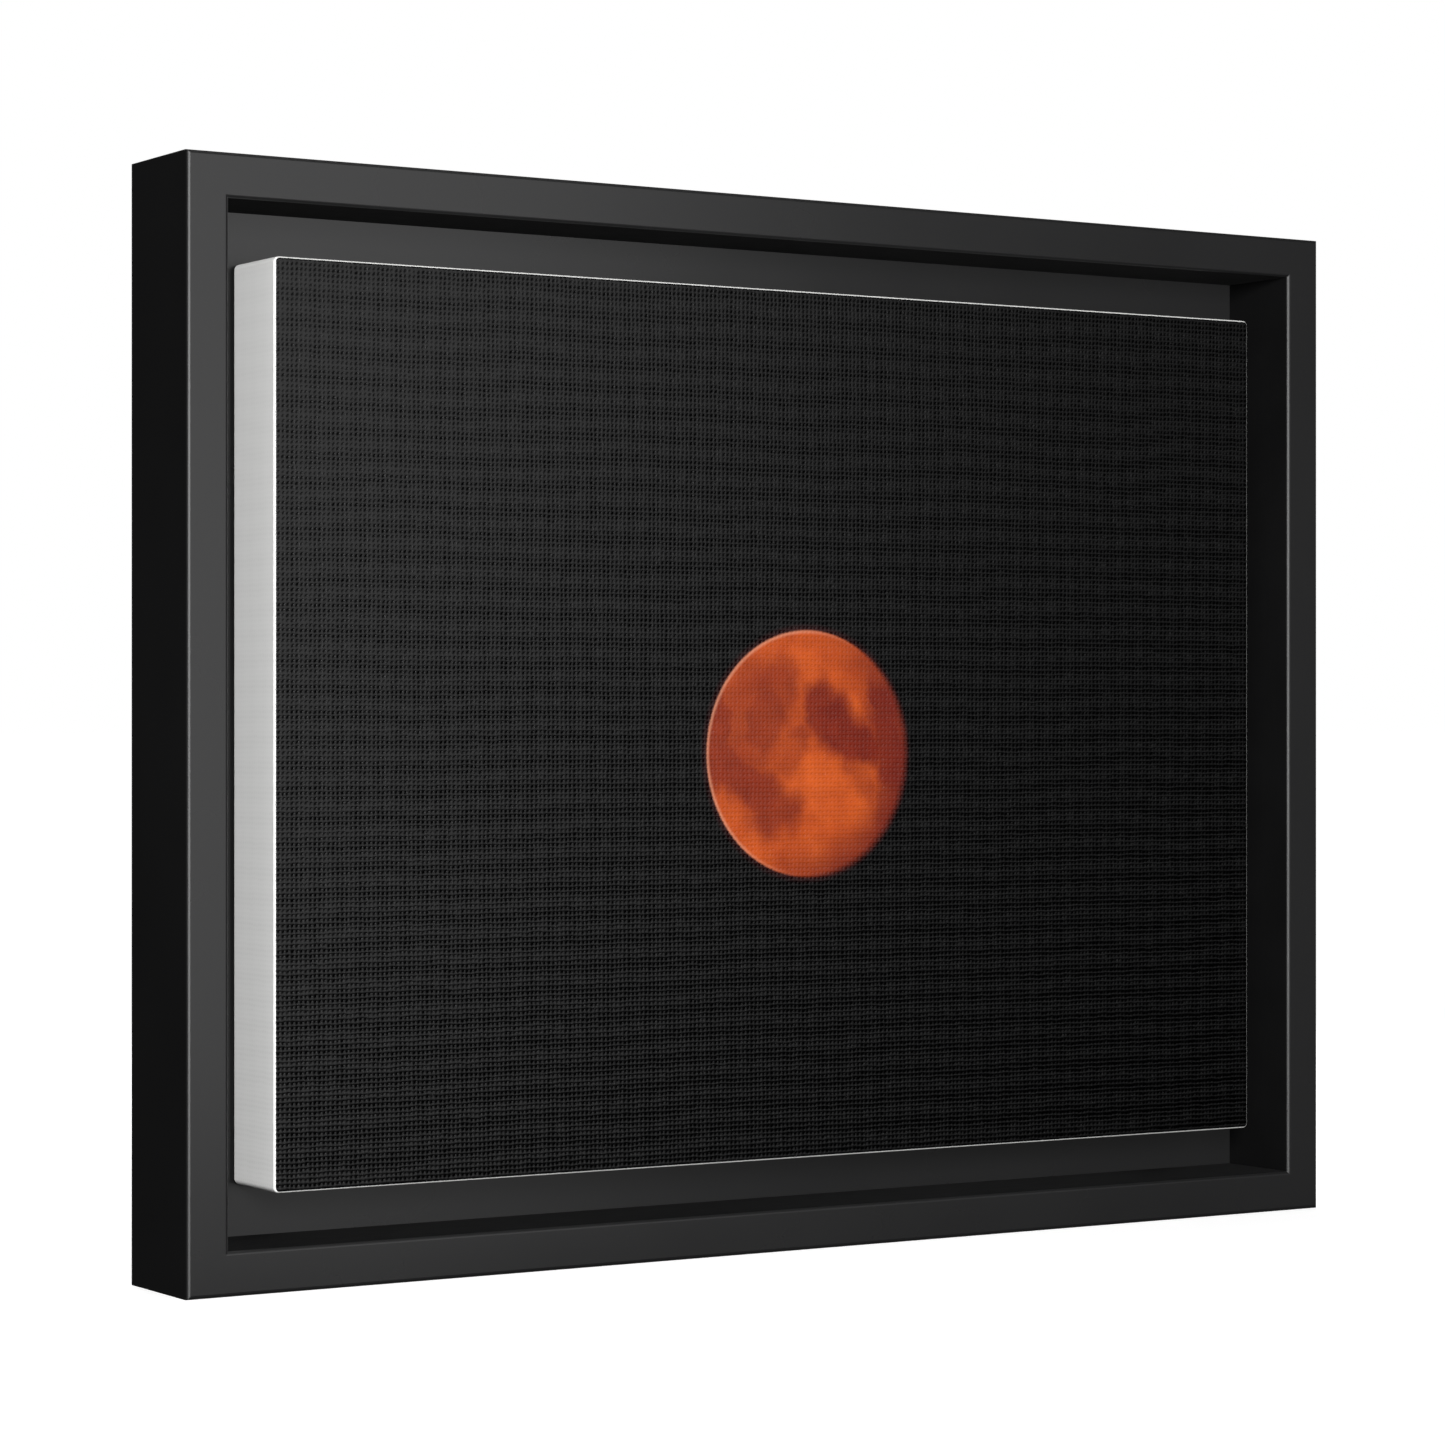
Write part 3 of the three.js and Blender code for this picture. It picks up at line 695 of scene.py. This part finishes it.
def make_hangers():
    """Bent straps with clipped corners, and the round wire of the D-rings."""
    for hand in ("left", "right"):
        node = f"hanger_strap_{hand}"
        shape = cad_shape(node)
        soften(shape, 1.6 * MM, 3, along=Vector((0, 1, 0)), angle=60.0)
        soften(shape, 0.12 * MM, 2, angle=40.0)
        strap = new_piece(f"strap_{hand}", shape, node, "nickel", NICKEL)
        smooth(strap, 40.0)

        node = f"hanger_ring_{hand}"
        shape = bmesh.new()
        shape.from_mesh(frame["nodes"][node].data)
        bmesh.ops.remove_doubles(shape, verts=shape.verts, dist=1e-6)
        bmesh.ops.join_triangles(
            shape, faces=shape.faces, angle_face_threshold=0.6, angle_shape_threshold=1.2
        )
        ring = new_piece(f"ring_{hand}", shape, node, "nickel", NICKEL, body=node)
        ring.data.shade_smooth()
        finer = ring.modifiers.new("finer", "SUBSURF")
        finer.levels = finer.render_levels = 1


def make_fasteners():
    for node in sorted(frame["nodes"]):
        if node.startswith("staple"):
            name, width = node.replace("staple", "wire_staple"), 0.16 * MM
        elif node.startswith("v_nail"):
            name, width = node.replace("v_nail", "wedge_nail"), 0.12 * MM
        else:
            continue
        shape = cad_shape(node)
        soften(shape, width, 2, angle=40.0)
        smooth(new_piece(name, shape, node, "bright_steel", STEEL), 40.0)


BUMPER_BASE = 0.8 * MM  # the height of a bumper's flat base, under its dome
DOME_STEPS = 8
DOME_POWER = 0.8  # under 1, so the dome is squarer than a ball


def bumper_profile(radius, height):
    """(radius, height) points of a soft dome on a thin round base."""
    profile = [(0, 0), (radius, 0), (radius, 0.5 * MM), (0.98 * radius, 0.7 * MM)]
    for step in range(DOME_STEPS):
        angle = math.radians(10 + 80 * step / DOME_STEPS)
        rise = (height - BUMPER_BASE) * math.sin(angle) ** DOME_POWER
        profile.append((0.95 * radius * math.cos(angle) ** DOME_POWER, BUMPER_BASE + rise))
    return [*profile, (0.5 * MM, height), (0, height)]


def make_bumpers():
    for hand in ("left", "right"):
        node = f"bumper_{hand}"
        low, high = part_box(node)
        middle = Vector(((low.x + high.x) / 2, low.y, (low.z + high.z) / 2))
        shape = bmesh.new()
        turned(shape, middle, bumper_profile((high.x - low.x) / 2, high.y - low.y), 40)
        smooth(new_piece(f"foot_{hand}", shape, node, "black_rubber", RUBBER), 50.0)


make_rails()
make_bars()
make_keys()
make_screws()
make_hangers()
make_fasteners()
make_bumpers()

# ------------------------------------------------------------------------------------------------
# Cloth

CLOTH = 0.6 * MM  # its thickness
FRONT_FOLD = 1.1 * MM  # the radius of the fold round the picture
BACK_FOLD = 1.8 * MM
CORNER = 2.0 * MM  # the radius of the canvas's four corners
HEM = 28 * MM
FRAY = 0.25 * MM  # how uneven the hem's cut edge is
ARC_STEPS = 8
SIDE_STEP = 6 * MM  # between points along a straight side
INK_REACH = math.radians(35)  # how far the print comes round the folds
GREY_FOLD_DEPTH = 0.8 * FRONT_FOLD  # how far back from the front the folds beyond the print are greyer
UNDERSIDE = -0.25 * MM  # a fold's own layer begins this far inside the skin
HEM_INSET = 0.4 * MM  # between a corner fold's end and the hem's cut edge
LEDGE_EDGE = 15.5 * MM  # past this distance in, a fold isn't pressed by the frame's ledge


def rounded_ring(half_x, half_z, radius):
    """Points round an upright rounded rectangle about the canvas's middle, as many for any size."""
    canvas = CANVAS_HIGH - CANVAS_LOW
    points = []
    for turn in range(4):
        quarter = turn * math.pi / 2
        ahead = Vector((round(math.cos(quarter)), round(math.sin(quarter))))
        left = Vector((-ahead.y, ahead.x))
        reach, rise = (half_x, half_z) if turn % 2 == 0 else (half_z, half_x)
        count = round((canvas.z if turn % 2 == 0 else canvas.x) / SIDE_STEP)
        straight = rise - radius
        for step in range(count):
            points.append(ahead * reach + left * (straight * (2 * step / count - 1)))
        for step in range(ARC_STEPS):
            angle = math.pi / 2 * step / ARC_STEPS
            middle = ahead * (reach - radius) + left * straight
            points.append(middle + radius * (ahead * math.cos(angle) + left * math.sin(angle)))
    return points


def fold_profile():
    """(inset from the canvas's outline, place from front to back) across the cloth, from the picture's
    edge to the hem."""
    front, back = CANVAS_LOW.y, CANVAS_HIGH.y
    places = []
    for step in range(ARC_STEPS + 1):
        angle = math.pi / 2 * step / ARC_STEPS
        places.append((FRONT_FOLD * (1 - math.sin(angle)), front + FRONT_FOLD * (1 - math.cos(angle))))
    places += [(0.0, front + (back - front) * share) for share in (0.25, 0.5, 0.75)]
    for step in range(ARC_STEPS + 1):
        angle = math.pi / 2 * step / ARC_STEPS
        places.append((BACK_FOLD * (1 - math.cos(angle)), back - BACK_FOLD * (1 - math.sin(angle))))
    places += [(BACK_FOLD + (HEM - BACK_FOLD) * share, back) for share in (0.3, 0.6, 0.85, 1.0)]
    return places


def wrapped_shell():
    """The cloth as one skin round the front, the sides and the back's edges."""
    half = (CANVAS_HIGH - CANVAS_LOW) / 2
    chance = random.Random(7)
    shape = bmesh.new()
    rings = []
    profile = fold_profile()
    for index, (inset, place) in enumerate(profile):
        radius = max(CORNER - inset, 0.4 * MM)
        ring = []
        for x, z in rounded_ring(half.x - inset, half.z - inset, radius):
            fray = Vector((chance.uniform(-1, 1), chance.uniform(-1, 1))) * FRAY
            fray *= index == len(profile) - 1
            ring.append(shape.verts.new((MIDDLE.x + x + fray.x, place, MIDDLE.z + z + fray.y)))
        rings.append(ring)
    shape.faces.new(rings[0])
    for inner, outer in zip(rings, rings[1:]):
        for here in range(len(inner)):
            there = (here + 1) % len(inner)
            shape.faces.new((inner[here], outer[here], outer[there], inner[there]))
    bmesh.ops.recalc_face_normals(shape, faces=shape.faces)
    if shape.faces[0].normal.y > 0:
        bmesh.ops.reverse_faces(shape, faces=shape.faces)
    return shape


def add_sheet(shape, rows, steps, point):
    """A closed thin layer: point(u, v, 1) is its top and point(u, v, 0) its underside, with u and v
    from 0 to 1."""
    layers = []
    for lift in (1, 0):
        grid = []
        for row in range(rows + 1):
            line = [point(row / rows, step / steps, lift) for step in range(steps + 1)]
            grid.append([shape.verts.new(place) for place in line])
        layers.append(grid)
    faces = []
    for row in range(rows):
        for step in range(steps):
            for grid in layers:
                near, far = grid[row], grid[row + 1]
                corners = (near[step], near[step + 1], far[step + 1], far[step])
                faces.append(shape.faces.new(corners))
    edge = [(r, 0) for r in range(rows)] + [(rows, c) for c in range(steps)]
    edge += [(r, steps) for r in range(rows, 0, -1)] + [(0, c) for c in range(steps, 0, -1)]
    top, bottom = layers
    for (r, c), (m, n) in zip(edge, edge[1:] + edge[:1]):
        faces.append(shape.faces.new((top[r][c], top[m][n], bottom[m][n], bottom[r][c])))
    bmesh.ops.recalc_face_normals(shape, faces=faces)


def edge_drop(shaded_holes, radius):
    """How far a surface has fallen away at a distance from an edge of some roundness."""
    near = max(0.0, radius - shaded_holes)
    return radius - math.sqrt(max(0.0, radius ** 2 - near ** 2))


def roll(free, thick):
    """The height, from 0 to 1, of a fold at a distance from its outer edge."""
    return math.sqrt(max(0.0, 1 - (1 - min(1.0, max(0.0, free) / thick)) ** 2))


def ease(value):
    value = min(1.0, max(0.0, value))
    return value * value * (3 - 2 * value)


def side_fold(shape, corner, inward, back, high, depth):
    """The doubled triangle on a side of the canvas, whose folded edge runs from the front corner at 45
    degrees. It hugs the rounded edges that it comes round."""
    thick = 2 * CLOTH
    begin = CORNER + 0.2 * MM
    tip = begin + 1.0 * MM

    def point(u, v, lift):
        down = tip + (depth - tip) * u
        along = begin + (down - begin) * math.sin(math.pi / 2 * v)
        swell = min(thick, 0.09 * down) * ease((along - begin) / (6 * MM)) + 0.04 * MM
        height = swell * roll((down - along) / math.sqrt(2), thick) if lift else UNDERSIDE
        height -= edge_drop(depth - down, BACK_FOLD)
        return corner + inward * along + back * down + high * height

    add_sheet(shape, 16, 10, point)


def hem_fold(shape, corner, inward, back, low, depth):
    """The same fold where it comes over the back: a leaning band between two edges at 45 degrees. It
    lies thin under the frame's ledge and fuller inside it."""

    def point(u, v, lift):
        into = BACK_FOLD + (HEM - HEM_INSET - BACK_FOLD) * u
        along = into + depth * v
        swell = 0.12 * MM + 0.3 * MM * ease((into - LEDGE_EDGE) / (4 * MM))
        free = min(along - into, depth - (along - into)) / math.sqrt(2)
        height = swell * roll(free, CLOTH) if lift else UNDERSIDE
        return corner + inward * along + back * (depth + height) + low * into

    add_sheet(shape, 10, 16, point)


def thicken(skin):
    """Gives the skin its thickness inwards. Its inner face and its hem's edge are raw cloth."""
    solid = skin.modifiers.new("thickness", "SOLIDIFY")
    solid.thickness = CLOTH
    solid.offset = -1
    solid.material_offset = CLOTHS.index(RAW_CLOTH)
    solid.material_offset_rim = CLOTHS.index(RAW_CLOTH)
    freeze(skin)


def ink_picture(data):
    """Prints the picture, whose ink comes a little way round the folds. Beyond it the folds are greyer
    for a short way back, except at the left, where the cloth stays bright white."""
    for face in data.polygons:
        if face.center.y > CANVAS_LOW.y + GREY_FOLD_DEPTH or face.material_index:
            continue
        if -face.normal.y > math.cos(INK_REACH):
            face.material_index = CLOTHS.index(PRINT)
        elif face.center.x >= CANVAS_LOW.x + FRONT_FOLD:
            face.material_index = CLOTHS.index(FOLD_CLOTH)


def add_corner_folds(data):
    shape = bmesh.new()
    shape.from_mesh(data)
    depth = CANVAS_HIGH.y - CANVAS_LOW.y
    back = Vector((0, 1, 0))
    for right, up in ((-1, -1), (-1, 1), (1, -1), (1, 1)):
        x = CANVAS_HIGH.x if right > 0 else CANVAS_LOW.x
        z = CANVAS_HIGH.z if up > 0 else CANVAS_LOW.z
        corner = Vector((x, CANVAS_LOW.y, z))
        inward, high = Vector((-right, 0, 0)), Vector((0, 0, up))
        side_fold(shape, corner, inward, back, high, depth)
        hem_fold(shape, corner, inward, back, -high, depth)
    shape.to_mesh(data)
    shape.free()


CLOTHS = (WHITE_CLOTH, PRINT, RAW_CLOTH, FOLD_CLOTH)


def make_cloth():
    skin = new_piece("wrapped_canvas", wrapped_shell(), "canvas_cloth", "cloth", *CLOTHS)
    thicken(skin)
    ink_picture(skin.data)
    add_corner_folds(skin.data)
    thread_coordinates(skin.data)
    smooth(skin, 60.0)


def thread_coordinates(data):
    """Gives each face corner its place in the flat cloth, so that the weave runs on round the folds."""
    attribute = data.attributes.new("thread", "FLOAT_VECTOR", "CORNER")
    half = (CANVAS_HIGH - CANVAS_LOW) / 2
    places = np.zeros((len(data.loops), 3), np.float32)
    for face in data.polygons:
        across, back, up = (abs(v) for v in face.normal)
        for loop in face.loop_indices:
            co = data.vertices[data.loops[loop].vertex_index].co
            x, y, z = co.x - MIDDLE.x, co.y - CANVAS_LOW.y, co.z - MIDDLE.z
            if back >= max(across, up):
                places[loop] = (x, z, 0)
            elif across >= up:
                places[loop] = (math.copysign(half.x + y, x), z, 0)
            else:
                places[loop] = (x, math.copysign(half.z + y, z), 0)
    attribute.data.foreach_set("vector", places.ravel())


make_cloth()

# ------------------------------------------------------------------------------------------------
# Studio


def aim(thing, target):
    thing.rotation_euler = (Vector(target) - thing.location).to_track_quat("-Z", "Y").to_euler()


def soft_light(name, place, target, size, brightness, diffuse=True, glossy=True):
    """A rectangular softbox of an even brightness."""
    data = bpy.data.lights.new(name, "AREA")
    data.shape = "RECTANGLE"
    data.size, data.size_y = size
    data.energy = brightness * math.pi * size[0] * size[1]
    light = bpy.data.objects.new(name, data)
    light.location = place
    light.visible_diffuse = diffuse
    light.visible_glossy = glossy
    bpy.context.collection.objects.link(light)
    aim(light, target)


GLOW_BAND = (0.35, 1.3)  # the distance from the object over which the floor turns to glowing
FLOOR_REACH = 60  # half the floor's side


def pale_floor():
    """Plain pale floor near the object. Further out it glows as bright as the background."""
    look = Look("pale_floor")
    x, y, _ = look.split(look.place())
    far = look.between(look.length(x, y), *GLOW_BAND)
    near = look.math("SUBTRACT", 1.0, far)
    colour = look.math("MULTIPLY", near, 0.85)
    look.put(look.shader.inputs["Emission Strength"], look.math("MULTIPLY_ADD", far, 0.6, 0.42))
    look.shader.inputs["Emission Color"].default_value = (1, 1, 1, 1)
    return look.finish(look.join(colour, colour, colour), 0.9, Specular_IOR_Level=0.0)


def make_floor():
    shape = bmesh.new()
    bmesh.ops.create_grid(shape, x_segments=1, y_segments=1, size=FLOOR_REACH)
    data = bpy.data.meshes.new("floor")
    shape.to_mesh(data)
    shape.free()
    floor = bpy.data.objects.new("floor", data)
    bpy.context.collection.objects.link(floor)
    paint(floor, pale_floor())
    floor.visible_glossy = False
    floor.visible_diffuse = False
    floor.visible_shadow = False


TO_CAMERA, TO_DIFFUSE, TO_GLOSSY = 1.0, 0.25, 0.04  # the background's brightness to each ray


def make_world():
    """White to the camera, dim round the object."""
    world = bpy.data.worlds.new("studio")
    bpy.context.scene.world = world
    world.use_nodes = True
    nodes, links = world.node_tree.nodes, world.node_tree.links
    rays = nodes.new("ShaderNodeLightPath")
    seen, shone = nodes.new("ShaderNodeMath"), nodes.new("ShaderNodeMath")
    for step, ray, more in (
        (seen, "Is Camera Ray", TO_CAMERA - TO_DIFFUSE),
        (shone, "Is Glossy Ray", TO_GLOSSY - TO_DIFFUSE),
    ):
        step.operation = "MULTIPLY_ADD"
        links.new(rays.outputs[ray], step.inputs[0])
        step.inputs[1].default_value = more
    seen.inputs[2].default_value = TO_DIFFUSE
    links.new(seen.outputs[0], shone.inputs[2])
    links.new(shone.outputs[0], nodes["Background"].inputs["Strength"])
    nodes["Background"].inputs["Color"].default_value = (1, 1, 1, 1)


def make_lights():
    middle = (0, 0, FRAME_MIDDLE.z)
    left = (-0.2, 0, FRAME_MIDDLE.z)
    behind, low_behind = (0.7, 1.7, 1.1), (1.0, 1.9, 0.45)
    soft_light("key", (0.28, -1.6, 0.5), middle, (1.15, 1.45), 1.5)
    soft_light("side", (1.4, -1.6, 0.38), middle, (1.0, 1.45), 0.26)
    soft_light("fill", (-0.82, -1.69, 0.55), left, (0.4, 0.4), 117.0, glossy=False)
    soft_light("rim", (-1.05, -1.5, 0.35), left, (1.3, 1.0), 13.0, diffuse=False)
    soft_light("top", (0.45, -0.25, 1.7), middle, (0.9, 0.6), 0.8)
    soft_light("back", behind, middle, (1.3, 0.9), 11.0, glossy=False)
    soft_light("back_gloss", low_behind, middle, (3.2, 1.8), 0.45, diffuse=False)


make_floor()
make_world()
make_lights()
bpy.context.scene.view_settings.view_transform = "Standard"
